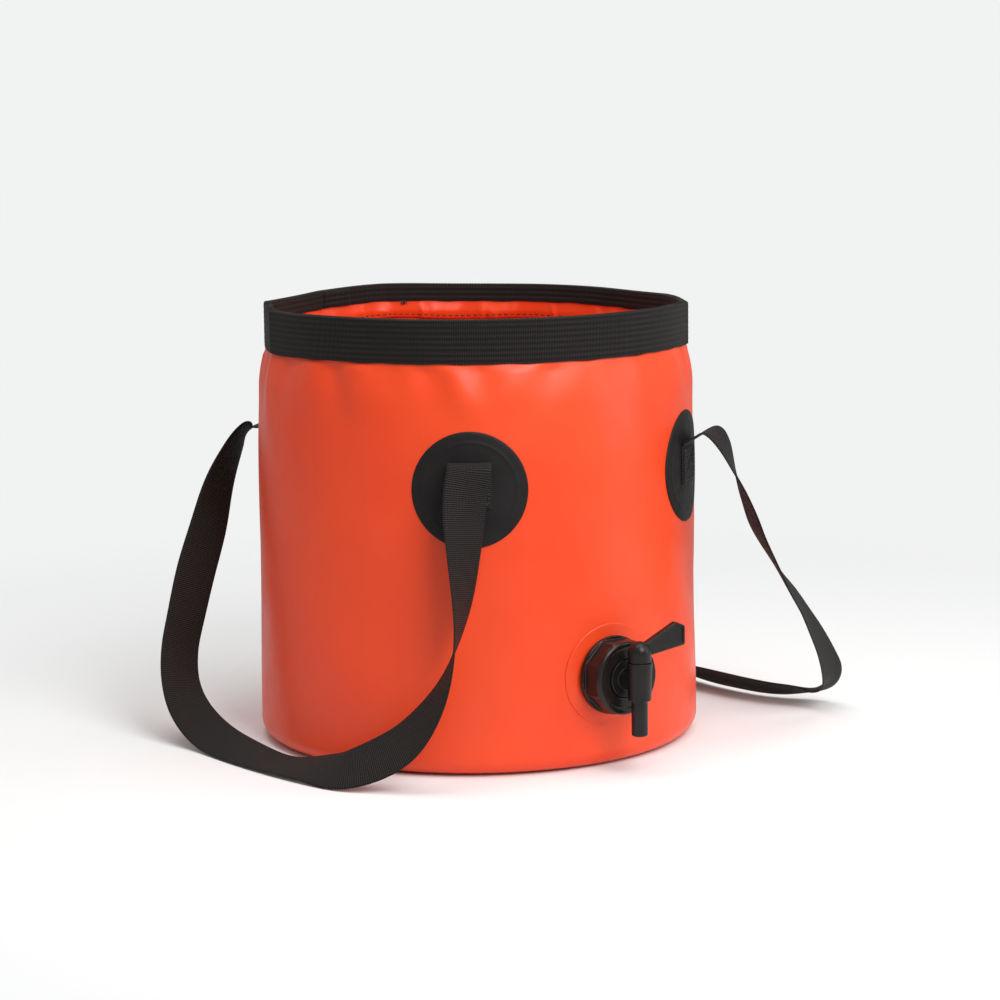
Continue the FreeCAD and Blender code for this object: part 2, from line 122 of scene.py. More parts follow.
# --- mesh helpers ---------------------------------------------------------------------------
def shade_smooth(mesh):
    mesh.polygons.foreach_set("use_smooth", np.ones(len(mesh.polygons), dtype=bool))


def grid(name, points, wrap_u=False, wrap_v=False, u=None, v=None):
    """Mesh of quads through points[i][j]; u and v are the UV coordinates along i and j."""
    nu, nv = points.shape[:2]
    cu = nu if wrap_u else nu - 1
    cv = nv if wrap_v else nv - 1
    i, j = np.meshgrid(np.arange(cu), np.arange(cv), indexing="ij")
    i2, j2 = (i + 1) % nu, (j + 1) % nv
    quads = np.stack([i * nv + j, i2 * nv + j, i2 * nv + j2, i * nv + j2], -1).reshape(-1, 4)
    mesh = bpy.data.meshes.new(name)
    mesh.vertices.add(nu * nv)
    mesh.vertices.foreach_set("co", points.reshape(-1).astype(np.float32))
    mesh.loops.add(quads.size)
    mesh.loops.foreach_set("vertex_index", quads.reshape(-1).astype(np.int32))
    mesh.polygons.add(len(quads))
    mesh.polygons.foreach_set("loop_start", np.arange(0, quads.size, 4, dtype=np.int32))
    mesh.polygons.foreach_set("loop_total", np.full(len(quads), 4, dtype=np.int32))
    if u is not None:
        layer = mesh.uv_layers.new(name="cloth")
        corners = np.stack([
            np.stack([u[i], v[j]], -1), np.stack([u[i + 1], v[j]], -1),
            np.stack([u[i + 1], v[j + 1]], -1), np.stack([u[i], v[j + 1]], -1)], 2)
        layer.data.foreach_set("uv", corners.reshape(-1).astype(np.float32))
    mesh.update(calc_edges=True)
    mesh.validate()
    shade_smooth(mesh)
    return mesh


def join_meshes(name, meshes):
    """One object from several meshes, with their UVs."""
    made = []
    for mesh in meshes:
        part = bpy.data.objects.new(name, mesh)
        bpy.context.scene.collection.objects.link(part)
        made.append(part)
    with bpy.context.temp_override(active_object=made[0], object=made[0],
                                   selected_objects=made, selected_editable_objects=made):
        if len(made) > 1:
            bpy.ops.object.join()
    made[0].name = name
    return made[0]


def place(obj, material, body="bucket", replaced=()):
    """Gives a new piece its material and body."""
    obj.data.materials.clear()
    obj.data.materials.append(material)
    if body:
        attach(obj, body)
    if replaced:
        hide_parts(*replaced)
    return obj


def smoothstep(x, start, end):
    t = np.clip((x - start) / (end - start), 0, 1)
    return t * t * (3 - 2 * t)


def closed_mesh(mesh):
    """Joins the corners that fall on each other and turns the faces outwards."""
    work = bmesh.new()
    work.from_mesh(mesh)
    bmesh.ops.remove_doubles(work, verts=work.verts, dist=1e-6)
    bmesh.ops.recalc_face_normals(work, faces=work.faces)
    work.to_mesh(mesh)
    work.free()
    return mesh


# --- the shape of the soft wall -------------------------------------------------------------
def angle_gap(turn, centre):
    """Signed difference of two angles, within half a turn."""
    return (turn - centre + math.pi) % TAU - math.pi


# Corners where the rim's hoop has a slight bend: degrees from the camera's side, height in mm.
RIM_CORNERS = [(-69, 3.0), (-97, 3.6), (85, 3.2), (110, 1.6), (-129, 2.4), (-152, 2.2),
               (140, 1.0), (18, 0.4), (-32, 0.5)]
# Rises and dips of the rim: degrees from the camera's side, mm, spread in degrees.
RIM_WAVES = [(-150, 1.7, 20), (-112, -0.9, 18), (124, -1.5, 22), (84, -0.9, 14), (-62, -0.8, 14)]


CORNER_SPREAD = math.radians(6.5)
CORNER_LEVEL = 0.12                 # share taken off each corner, so that the mean radius stays


def rim_out(turn):
    """How far the rim stands out of its round shape."""
    total = np.zeros_like(turn) - 0.25 * MM
    for degrees, size in RIM_CORNERS:
        gap = np.abs(angle_gap(turn, math.radians(degrees) - VIEW_TURN))
        total += size * MM * (np.exp(-gap / CORNER_SPREAD) - CORNER_LEVEL)
    return total


def rim_rise(turn):
    """How far the rim stands above its level."""
    total = np.zeros_like(turn)
    for degrees, size, spread in RIM_WAVES:
        gap = angle_gap(turn, math.radians(degrees) - VIEW_TURN)
        total += size * MM * np.exp(-(gap / math.radians(spread)) ** 2)
    return total


rng = np.random.default_rng(11)
# Folds below the band that the camera sees: degrees from its side, height, half width and
# reach in mm, slant.
SEEN_PUCKERS = [
    (-84, 1.4, 4, 34, 0.1), (-76, -1.5, 4, 30, 0.1), (-58, -1.0, 6, 24, -0.2),
    (-49, 0.8, 6, 22, 0.2), (-40, -1.9, 6, 30, 0.25), (-31, 0.9, 7, 26, 0.3),
    (-22, -0.8, 6, 20, 0.2), (-13, -1.7, 7, 30, 0.35), (-6, 1.5, 6, 34, 0.35),
    (2, -1.0, 6, 26, 0.1), (11, 1.3, 9, 30, -0.35), (21, -1.3, 7, 24, -0.3),
    (31, 0.9, 8, 24, -0.3), (40, -1.2, 7, 22, -0.2), (49, 0.7, 7, 20, -0.3),
    (58, -1.1, 6, 26, -0.2), (68, 0.9, 5, 24, 0.0), (77, -1.4, 4, 34, -0.1)]
PUCKERS = [(math.radians(degrees) - VIEW_TURN, size * MM, width * MM, reach * MM, slant)
           for degrees, size, width, reach, slant in SEEN_PUCKERS]
for number in range(18):
    PUCKERS.append((
        math.radians(88 + 10 * number + rng.uniform(-4, 4)) - VIEW_TURN,
        rng.uniform(-1.8, 1.0) * MM, rng.uniform(4, 9) * MM, rng.uniform(16, 36) * MM,
        rng.uniform(-0.35, 0.35)))
# Broad swells of the whole wall: waves round it, phases round and up, mm per radian of height.
WAVES = [(k, rng.uniform(0, TAU), rng.uniform(0, TAU), rng.uniform(14, 30))
         for k in (2, 3, 3, 4, 5, 7)]
WAVE_SIZE = 0.22 * MM
# Soft dents: turn, height, size, half width, half height and slant in radians.
DENTS = []
for number in range(60):
    DENTS.append((
        rng.uniform(0, TAU), rng.uniform(0.03, 0.205), rng.uniform(-0.4, 0.3) * MM,
        rng.uniform(8, 26) * MM, rng.uniform(2, 9) * MM, rng.uniform(-0.9, 0.9)))


def relief(turn, z):
    """Soft unevenness of the wall, outwards, in metres."""
    total = np.zeros(np.broadcast(turn, z).shape)
    for centre, size, width, reach, slant in PUCKERS:
        below = BAND_LOW - z
        s = angle_gap(turn, centre) * SHOULDER_R - slant * below
        spread = width * (1 + 0.9 * np.clip(below, 0, None) / reach)
        fade = np.exp(-(below / reach) ** 2) * smoothstep(below, -1 * MM, 5 * MM)
        total += size * np.exp(-(s / spread) ** 2) * fade
    for k, phase, lift, length in WAVES:
        total += WAVE_SIZE * np.sin(k * turn + phase) * np.sin(z / MM / length + lift)
    middle = smoothstep(z, 0.02, 0.05) * (1 - smoothstep(z, 0.2, 0.225))
    for centre, level, size, width, tall, slant in DENTS:
        s = angle_gap(turn, centre) * BASE_R
        t = z - level
        along = s * math.cos(slant) + t * math.sin(slant)
        side = -s * math.sin(slant) + t * math.cos(slant)
        total += size * np.exp(-(along / width) ** 2 - (side / tall) ** 2) * middle
    # The tap's weight pulls a shallow dish into the wall under its flange, a swell above it
    # and an upright crease below it.
    s = angle_gap(turn, 0) * BASE_R
    t = z - TAP_Z
    total -= 1.1 * MM * np.exp(-(s / 0.034) ** 2 - ((t + 0.034) / 0.014) ** 2)
    total += 0.5 * MM * np.exp(-(s / 0.05) ** 2 - ((t - 0.045) / 0.02) ** 2)
    crease = np.exp(-((s - 0.006) / 0.009) ** 2) * (1 - smoothstep(t, -0.05, -0.03))
    total -= 0.9 * MM * crease * smoothstep(z, 0.004, 0.02)
    # Flat where a patch is welded on.
    for centre in PATCH_TURNS.values():
        s = angle_gap(turn, centre) * BASE_R
        near = np.sqrt(s * s + (z - PATCH_Z) ** 2)
        total *= smoothstep(near, 0.9 * PATCH_R, 1.5 * PATCH_R)
    return total


def wall_radius(z):
    """Outside radius of the plain wall."""
    share = (z - CORNER_TOP) / (SHOULDER_Z - CORNER_TOP)
    return BASE_R + share * (SHOULDER_R - BASE_R)


def to_space(turn, radius, z):
    """Bucket coordinates to x, y, z, with the rim's own unevenness added."""
    share = smoothstep(z, HEIGHT - 0.085, BAND_LOW)
    r = radius + rim_out(turn) * share
    return np.stack([r * np.sin(turn), -r * np.cos(turn), z + rim_rise(turn) * share], -1)


# --- materials ------------------------------------------------------------------------------
class Nodes:
    """Short way to build a node tree."""

    def __init__(self, name):
        self.material = bpy.data.materials.new(name)
        self.material.use_nodes = True
        self.tree = self.material.node_tree
        self.tree.nodes.clear()
        self.shader = self.add("ShaderNodeBsdfPrincipled")
        output = self.add("ShaderNodeOutputMaterial")
        self.link(self.shader.outputs["BSDF"], output.inputs["Surface"])

    def add(self, kind, **settings):
        node = self.tree.nodes.new(kind)
        for key, value in settings.items():
            setattr(node, key, value)
        return node

    def link(self, source, target):
        self.tree.links.new(source, target)

    def set(self, **values):
        """Sets shader inputs; an underscore stands for a space in the input's name."""
        for key, value in values.items():
            self.shader.inputs[key.replace("_", " ")].default_value = value

    def math(self, operation, a, b=None):
        """Math node; a and b are numbers or sockets."""
        node = self.add("ShaderNodeMath", operation=operation)
        for socket, value in zip(node.inputs, (a, b)):
            if value is None:
                continue
            if isinstance(value, (int, float)):
                socket.default_value = value
            else:
                self.link(value, socket)
        return node.outputs[0]

    def noise(self, scale, detail=3.0, roughness=0.5):
        node = self.add("ShaderNodeTexNoise")
        node.inputs["Scale"].default_value = scale
        node.inputs["Detail"].default_value = detail
        node.inputs["Roughness"].default_value = roughness
        source = self.add("ShaderNodeTexCoord")
        self.link(source.outputs["Object"], node.inputs["Vector"])
        return node.outputs["Fac"]

    def ramp(self, source, stops):
        """Colour ramp through (position, (red, green, blue)) stops."""
        node = self.add("ShaderNodeValToRGB")
        elements = node.color_ramp.elements
        while len(elements) < len(stops):
            elements.new(0.5)
        for element, (position, colour) in zip(elements, stops):
            element.position = position
            element.color = (*colour, 1)
        self.link(source, node.inputs["Fac"])
        return node.outputs["Color"]

    def range(self, source, low_value, high_value, start, end):
        """Maps start to end onto low_value to high_value."""
        node = self.add("ShaderNodeMapRange")
        node.inputs["From Min"].default_value = start
        node.inputs["From Max"].default_value = end
        node.inputs["To Min"].default_value = low_value
        node.inputs["To Max"].default_value = high_value
        self.link(source, node.inputs["Value"])
        return node.outputs["Result"]

    def bump(self, height, distance, before=None):
        """Bump of a height in metres, on top of the bump before it."""
        node = self.add("ShaderNodeBump")
        node.inputs["Distance"].default_value = distance
        node.inputs["Strength"].default_value = 1.0
        self.link(height, node.inputs["Height"])
        if before is not None:
            self.link(before, node.inputs["Normal"])
        return node.outputs["Normal"]

    def uv(self):
        """The two UV coordinates, which are metres along and across the cloth."""
        source = self.add("ShaderNodeUVMap", uv_map="cloth")
        split = self.add("ShaderNodeSeparateXYZ")
        self.link(source.outputs["UV"], split.inputs["Vector"])
        return split.outputs["X"], split.outputs["Y"]

    def wave(self, coordinate, pitch, phase=0.0):
        """Sine of a UV coordinate in metres, with one period per pitch."""
        turned = self.math("MULTIPLY", coordinate, TAU / pitch)
        if phase:
            turned = self.math("ADD", turned, phase)
        return self.math("SINE", turned)


WEAVE_PITCH = 1.1 * MM


def pvc_material():
    """Glossy coated fabric: the base cloth shows as a very fine grid under the coat."""
    n = Nodes("pvc_orange")
    cloud = n.noise(9.0, 3.0, 0.55)
    colour = n.ramp(cloud, [(0.3, (0.80, 0.050, 0.0065)), (0.7, (0.88, 0.066, 0.009))])
    n.link(colour, n.shader.inputs["Base Color"])
    smear = n.noise(38.0, 4.0, 0.6)
    n.link(n.range(smear, 0.34, 0.5, 0.3, 0.7), n.shader.inputs["Roughness"])
    n.set(Coat_Weight=0.1, Coat_Roughness=0.3, IOR=1.5, Specular_IOR_Level=0.4)
    u, v = n.uv()
    weave = n.math("MULTIPLY", n.wave(u, WEAVE_PITCH), n.wave(v, WEAVE_PITCH))
    fine = n.bump(weave, 0.014 * MM)
    grain = n.noise(420.0, 3.0, 0.6)
    fine = n.bump(grain, 0.035 * MM, before=fine)
    crease = n.noise(24.0, 3.0, 0.5)
    fine = n.bump(crease, 0.7 * MM, before=fine)
    n.link(fine, n.shader.inputs["Normal"])
    return n.material


def webbing_material(name, rib_pitch, row_pitch, rib_share, row_share, depth):
    """Black polypropylene webbing, its colour lighter on its raised ribs as a painted highlight
    and darker in its grooves as painted shade. U runs along it and V across it, in metres.
    """
    n = Nodes(name)
    u, v = n.uv()
    rows = n.wave(v, row_pitch, 0.5 * math.pi)
    rib = n.wave(u, rib_pitch)
    worn = n.range(n.noise(55.0, 3.0, 0.6), 0.55, 1.35, 0.3, 0.7)
    rows = n.math("MULTIPLY", rows, worn)
    ticks = n.math("MULTIPLY", n.wave(u, 2 * rib_pitch), n.wave(v, 0.5 * row_pitch))
    lift = n.math("ADD", n.math("MULTIPLY", rows, row_share), n.math("MULTIPLY", rib, rib_share))
    lift = n.math("ADD", lift, n.math("MULTIPLY", ticks, 0.45))
    fuzz = n.noise(2600.0, 2.0, 0.7)
    lift = n.math("ADD", lift, n.math("MULTIPLY", fuzz, 0.7))
    n.link(n.bump(lift, depth), n.shader.inputs["Normal"])
    # Painted light: the colour follows the relief, lighter on the raised ribs and yarns as a
    # painted highlight and nearly black in the grooves as painted shade.
    painted_crest_light = n.range(lift, 0.0, 1.0, -1.0, 1.9)
    colour = n.ramp(painted_crest_light, [(0.1, (0.003, 0.0026, 0.0025)), (0.55, (0.010, 0.0082, 0.0075)),
                           (0.8, (0.026, 0.021, 0.0185)), (1.0, (0.085, 0.068, 0.059))])
    n.link(colour, n.shader.inputs["Base Color"])
    n.set(Roughness=0.6, Specular_IOR_Level=0.16, Sheen_Weight=0.02, Sheen_Roughness=0.5)
    return n.material


def patch_material():
    """Matt black PVC of the handle patches."""
    n = Nodes("patch_black")
    cloud = n.noise(45.0, 3.0, 0.6)
    colour = n.ramp(cloud, [(0.3, (0.0085, 0.0072, 0.007)), (0.75, (0.014, 0.0122, 0.0118))])
    n.link(colour, n.shader.inputs["Base Color"])
    n.link(n.range(n.noise(160.0), 0.5, 0.62, 0.3, 0.7), n.shader.inputs["Roughness"])
    grain = n.noise(900.0, 3.0, 0.6)
    n.link(n.bump(grain, 0.06 * MM), n.shader.inputs["Normal"])
    n.set(Specular_IOR_Level=0.2)
    return n.material


def plastic_material(name, dark, light, low_rough, high_rough, grain_depth):
    """Moulded plastic with a fine spark-eroded grain."""
    n = Nodes(name)
    cloud = n.noise(60.0, 3.0, 0.55)
    n.link(n.ramp(cloud, [(0.35, dark), (0.7, light)]), n.shader.inputs["Base Color"])
    rough = n.noise(210.0, 3.0, 0.6)
    n.link(n.range(rough, low_rough, high_rough, 0.3, 0.7), n.shader.inputs["Roughness"])
    grain = n.noise(1500.0, 2.0, 0.5)
    n.link(n.bump(grain, grain_depth), n.shader.inputs["Normal"])
    n.set(IOR=1.5, Specular_IOR_Level=0.32)
    return n.material


def thread_material():
    """Twisted black sewing thread."""
    n = Nodes("thread_black")
    twist = n.noise(3000.0, 2.0, 0.5)
    n.link(n.ramp(twist, [(0.3, (0.01, 0.009, 0.009)), (0.8, (0.05, 0.043, 0.04))]),
           n.shader.inputs["Base Color"])
    n.link(n.bump(twist, 0.05 * MM), n.shader.inputs["Normal"])
    n.set(Roughness=0.55)
    return n.material


BAND_ROW = (HEIGHT - BAND_LOW) / 8      # the binding has eight rows of ribs
PVC = pvc_material()
STRAP_WEB = webbing_material("webbing_handle", 1.15 * MM, 1.7 * MM, 1.0, 0.12, 0.14 * MM)
BAND_WEB = webbing_material("webbing_rim", 1.05 * MM, BAND_ROW, 0.55, 0.42, 0.16 * MM)
PATCH = patch_material()
THREAD = thread_material()
TAP_BLACK = plastic_material("tap_black", (0.006, 0.0052, 0.005), (0.011, 0.0092, 0.0086),
                             0.26, 0.4, 0.02 * MM)
COLLAR_BLACK = plastic_material("collar_black", (0.009, 0.0065, 0.006), (0.015, 0.0105, 0.0095),
                                0.16, 0.28, 0.01 * MM)
HOOP_GREY = plastic_material("hoop_grey", (0.3, 0.3, 0.31), (0.38, 0.38, 0.39),
                             0.4, 0.5, 0.03 * MM)
RUBBER = plastic_material("seal_rubber", (0.02, 0.02, 0.02), (0.035, 0.034, 0.033),
                          0.55, 0.7, 0.05 * MM)


# --- wall and rim ---------------------------------------------------------------------------
WALL_AROUND = 720                   # mesh columns round the wall
WALL_STEPS = 110                    # mesh rows on its plain height


def turns(count):
    """Angles round the bucket and their UV positions, one more than the angles."""
    angles = np.arange(count) * TAU / count
    return angles, np.arange(count + 1) * TAU / count * SHOULDER_R


def wall_profile(offset):
    """(radius, height) down the wall from the top to the weld flange, at an inward offset."""
    top = HEIGHT - BINDING_T - UNDER_BINDING
    heights = np.linspace(top, BAND_LOW, 8)[:-1]
    points = [(WALL_R_RIM, z) for z in heights]
    for z in np.linspace(BAND_LOW, BAND_LOW - BLOUSE, 30)[:-1]:
        bend = math.sin(0.5 * math.pi * (BAND_LOW - z) / BLOUSE) ** 0.85
        points.append((WALL_R_RIM + (wall_radius(z) - WALL_R_RIM) * bend, z))
    for z in np.linspace(BAND_LOW - BLOUSE, CORNER_TOP, WALL_STEPS)[:-1]:
        points.append((wall_radius(z), z))
    points = [(r - offset, z) for r, z in points]
    centre = BASE_R - CORNER_R
    for t in np.linspace(0, math.pi / 2, 10):
        r = CORNER_R - offset
        points.append((centre + r * math.cos(t), CORNER_TOP - r * math.sin(t)))
    points.append((centre - TURN_IN, BASE_SHEET + offset))
    return np.array(points)


def body_wall():
    """Wall of coated fabric with both of its faces, closed at the top and at the weld flange."""
    profile = np.concatenate([wall_profile(0.0), wall_profile(SHEET)[::-1]])
    angles, u = turns(WALL_AROUND)
    turn = angles[:, None]
    z = profile[None, :, 1]
    uneven = relief(turn, np.broadcast_to(z, (len(angles), len(profile))))
    points = to_space(turn + 0 * z, profile[None, :, 0] + uneven, z + 0 * turn)
    v = np.concatenate([[0], np.cumsum(np.linalg.norm(np.diff(profile, axis=0), axis=1))])
    v = np.append(v, v[-1] + SHEET)
    mesh = grid("body_wall_cloth", points, True, True, u, v)
    cut_neck_hole(mesh)
    return place(join_meshes("body_wall_cloth", [mesh]), PVC,
                 replaced=("body_wall",))


def cut_neck_hole(mesh):
    """Takes out the faces inside the neck and joins the wall's two skins round the hole."""
    work = bmesh.new()
    work.from_mesh(mesh)
    inside = [f for f in work.faces
              if f.calc_center_median().y < 0
              and math.hypot(f.calc_center_median().x,
                             f.calc_center_median().z - TAP_Z) < NECK_R]
    bmesh.ops.delete(work, geom=inside, context="FACES")
    rim = [e for e in work.edges if e.is_boundary]
    bmesh.ops.bridge_loops(work, edges=rim)
    bmesh.ops.recalc_face_normals(work, faces=work.faces)
    work.to_mesh(mesh)
    work.free()
    shade_smooth(mesh)


def ring_piece(name, profile, count, material, replaced, waves=None):
    """Closed ring from a loop of (radius, height) points; waves adds (radius, height) changes."""
    angles, u = turns(count)
    turn = angles[:, None]
    r = np.broadcast_to(profile[None, :, 0], (count, len(profile))).copy()
    z = np.broadcast_to(profile[None, :, 1], (count, len(profile))).copy()
    if waves is not None:
        dr, dz = waves(turn, r, z)
        r, z = r + dr, z + dz
    points = to_space(turn + 0 * z, r, z)
    loop = np.vstack([profile, profile[:1]])
    v = np.concatenate([[0], np.cumsum(np.linalg.norm(np.diff(loop, axis=0), axis=1))])
    mesh = closed_mesh(grid(name, points, True, True, u, v))
    return place(join_meshes(name, [mesh]), material, replaced=replaced)


def rim_hoop():
    """Plastic strip inside the rim."""
    outer = WALL_R_RIM - SHEET - 0.05 * MM
    inner = outer - HOOP_T + 0.1 * MM
    top = HEIGHT - 3 * BINDING_T
    profile = np.array([(outer, top - HOOP_H), (outer, top), (inner, top), (inner, top - HOOP_H)])
    return ring_piece("rim_hoop_strip", profile, 360, HOOP_GREY, ("rim_hoop",))


def facing_profile():
    """Loop of (radius, height) round the facing's section, in steps of about a millimetre."""
    outer_r = WALL_R_RIM - SHEET
    hoop_in = outer_r - HOOP_T - 0.1 * MM
    low_z = HEIGHT - FACING_DROP
    step = HEIGHT - 3 * BINDING_T - HOOP_H
    outside = [(outer_r - 0.25 * MM, low_z), (outer_r - 0.4 * MM, low_z + 1.5 * MM)]
    outside += [(hoop_in, step), (hoop_in, HEIGHT - 8 * MM),
                (hoop_in, HEIGHT - BINDING_T - UNDER_BINDING)]
    inside = [(r - SHEET, z) for r, z in outside]
    inside[0] = (inside[0][0] + 0.1 * MM, low_z)
    coarse = outside + inside[::-1]
    points = []
    for a, b in zip(coarse, coarse[1:] + coarse[:1]):
        steps = max(1, int(abs(b[1] - a[1]) / (1.2 * MM)))
        for i in range(steps):
            t = i / steps
            points.append((a[0] + (b[0] - a[0]) * t, a[1] + (b[1] - a[1]) * t))
    return np.array(points)


# Small folds of the facing: turn, size, half width, slant.
facing_rng = np.random.default_rng(5)
FACING_FOLDS = [(facing_rng.uniform(0, TAU), facing_rng.uniform(0.5, 1.6) * MM,
                 facing_rng.uniform(1.6, 5) * MM, facing_rng.uniform(-0.4, 0.4))
                for fold in range(72)]
FACING_TOP = HEIGHT - BINDING_IN
FACING_WAVE = 0.5 * MM              # rise and fall of its lower edge
FACING_WAVES = 9                    # times round


def facing_fold(turn, z):
    """How far the facing's folds stand inwards."""
    below = FACING_TOP - z
    total = np.zeros(np.broadcast(turn, z).shape)
    for centre, size, width, slant in FACING_FOLDS:
        s = angle_gap(turn, centre) * WALL_R_RIM - slant * below
        total += size * np.exp(-(s / width) ** 2)
    return total * smoothstep(below, -1 * MM, 8 * MM)


def rim_facing():
    """Inner band of the cloth over the hoop, with the seam along its lower edge."""
    def waves(turn, r, z):
        hang = smoothstep(FACING_TOP - z, 4 * MM, 11 * MM)
        return -facing_fold(turn, z), FACING_WAVE * np.sin(FACING_WAVES * turn) * hang

    facing = ring_piece("rim_facing_cloth", facing_profile(), 900, PVC,
                        ("rim_facing",), waves)
    level = HEIGHT - FACING_DROP + 2.2 * MM
    skin = WALL_R_RIM - 2 * SHEET - 0.55 * MM
    count = 190
    pairs = []
    for number in range(count):
        ends = []
        for share in (0.12, 0.82):
            turn = np.array((number + share) * TAU / count)
            r = skin - facing_fold(turn, level)
            ends.append(to_space(turn, r, level + FACING_WAVE * np.sin(FACING_WAVES * turn)))
        pairs.append(tuple(ends))
    place(stitch_object("facing_stitches", pairs, 0.4 * MM), THREAD)
    return facing


def band_outline(thick, out_r, in_r, low_out, low_in, top):
    """Loop of the folded webbing: outer leg, rounded top, inner leg and back underneath."""
    points = []
    rounding = 1.4 * MM
    step = 0.42 * MM
    for z in np.arange(low_out, top - rounding, step):
        points.append((out_r, z))
    for t in np.linspace(0, math.pi / 2, 6):
        points.append((out_r - rounding * (1 - math.cos(t)), top - rounding * (1 - math.sin(t))))
    for t in np.linspace(math.pi / 2, 0, 6):
        points.append((in_r + rounding * (1 - math.cos(t)), top - rounding * (1 - math.sin(t))))
    for z in np.arange(top - rounding, low_in, -step)[1:]:
        points.append((in_r, z))
    points += [(in_r, low_in), (in_r + thick, low_in)]
    points += [(in_r + thick, top - thick - 0.4 * MM), (out_r - thick, top - thick - 0.4 * MM)]
    points += [(out_r - thick, low_out)]
    return np.array(points)


def band_waves(out_r, in_r, low_out, low_in, top):
    """Ribs along the webbing, its toothed edges and the place where its ends overlap."""
    lap = -math.radians(139) - VIEW_TURN
    tooth_pitch = 2.0 * MM

    def waves(turn, r, z):
        face = np.maximum(smoothstep(r, out_r - 0.2 * MM, out_r),
                          1 - smoothstep(r, in_r, in_r + 0.2 * MM))
        away = np.where(r > 0.5 * (out_r + in_r), 1.0, -1.0)
        rib = np.abs(np.cos(math.pi * (z - low_out) / BAND_ROW)) ** 0.7
        gap = angle_gap(turn, lap)
        end = smoothstep(gap, 0, 0.006) * (1 - smoothstep(gap, 0.17, 0.176))
        dr = away * face * (0.13 * MM * (rib - 0.75) + 0.8 * MM * end)
        dr += np.where(away > 0, 0, 1) * face * 0.25 * MM      # inner leg, pressed on the facing
        edge = np.where(away > 0, z < low_out + 0.3 * MM, z < low_in + 0.3 * MM)
        crown = smoothstep(z, top - 1.0 * MM, top)
        tooth = np.sin(turn * out_r / tooth_pitch * TAU)
        drift = np.sin(23 * turn) + 0.7 * np.sin(41 * turn + 1.3)
        dz = edge * (0.16 * MM * tooth + 0.16 * MM * drift) + crown * 0.26 * MM * tooth
        return dr, dz

    return waves


def rim_binding():
    """Webbing folded over the rim."""
    out_r = BAND_R
    in_r = WALL_R_RIM - 2 * SHEET - HOOP_T - BINDING_T
    low_in = HEIGHT - BINDING_IN
    profile = band_outline(BINDING_T - 0.1 * MM, out_r, in_r, BAND_LOW, low_in, HEIGHT)
    waves = band_waves(out_r, in_r, BAND_LOW, low_in, HEIGHT)
    return ring_piece("rim_binding_web", profile, 1600, BAND_WEB,
                      ("rim_binding",), waves)


def loose_thread():
    """Tuft of cut thread ends under the inside edge of the binding, at the back."""
    root_turn = -math.radians(157.5) - VIEW_TURN
    tuft_rng = np.random.default_rng(3)
    pairs = []
    for number in range(7):
        turn = np.array(root_turn + tuft_rng.uniform(-1.6, 1.6) * MM / WALL_R_RIM)
        start = to_space(turn, BAND_R - 5.2 * MM, HEIGHT - BINDING_IN + 0.4 * MM)
        lean = np.array([tuft_rng.uniform(-1, 1), tuft_rng.uniform(-1, 1),
                         -tuft_rng.uniform(2, 3.4)]) * MM
        pairs.append((start, start + lean))
    place(stitch_object("binding_thread_end", pairs, 0.28 * MM), THREAD)


# --- things that lie on the wall ------------------------------------------------------------
def on_wall(centre, s, t, lift):
    """Point on the wall s metres round and t metres up from (centre, PATCH_Z), lifted by lift."""
    z = PATCH_Z + t
    turn = centre + s / wall_radius(PATCH_Z)
    r = wall_radius(z) + relief(turn, z) + lift
    return to_space(turn, r, z)


def handle_patch(corner, centre):
    """Round welded patch with a rounded rim and a faint ring inside its edge."""
    around = 160
    angles = np.arange(around) * TAU / around
    steps = np.array([0, 4, 8, 12, 16, 20, 23, 25, 26, 26.6, 27.2, 27.8, 28.6, 30, 31.2, 32.1,
                      32.7, 33])
    rho = steps / steps[-1] * PATCH_R
    height = np.full(len(rho), PATCH_T)
    height[-4:] = PATCH_T * np.array([0.97, 0.88, 0.68, 0.35])
    ring_r, ring_w, ring_h = 26.9 * MM, 0.7 * MM, 0.28 * MM
    height = height + ring_h * np.exp(-((rho - ring_r) / ring_w) ** 2)
    rho = np.concatenate([rho, rho[::-1]])
    height = np.concatenate([height, np.full(len(steps), 0.05 * MM)])
    s = rho[None, :] * np.cos(angles[:, None])
    t = rho[None, :] * np.sin(angles[:, None])
    points = on_wall(centre, s, t, np.broadcast_to(height[None, :], s.shape))
    mesh = closed_mesh(grid("patch", points, True, False, np.arange(around + 1) * MM,
                            np.cumsum(rho)))
    name = "handle_patch_" + corner
    return place(join_meshes(name + "_disc", [mesh]), PATCH, replaced=(name,))


def stitches(ends, radius):
    """Short threads between pairs of points: each is rows of rings, thin at both ends."""
    stations = np.array([0.0, 0.08, 0.3, 0.7, 0.92, 1.0])
    sizes = radius * np.array([0.05, 0.65, 1.0, 1.0, 0.65, 0.05])
    turn = np.arange(6) * TAU / 6
    threads = []
    for a, b in ends:
        along = b - a
        length = np.linalg.norm(along)
        along = along / length
        side = np.cross(along, [0.0, 0.0, 1.0])
        if np.linalg.norm(side) < 0.1:
            side = np.cross(along, [1.0, 0.0, 0.0])
        side /= np.linalg.norm(side)
        up = np.cross(side, along)
        ring = np.cos(turn)[:, None] * side + np.sin(turn)[:, None] * up
        centres = (a + along * (stations[:, None] * length))[:, None, :]
        threads.append(centres + ring[None] * sizes[:, None, None])
    return threads


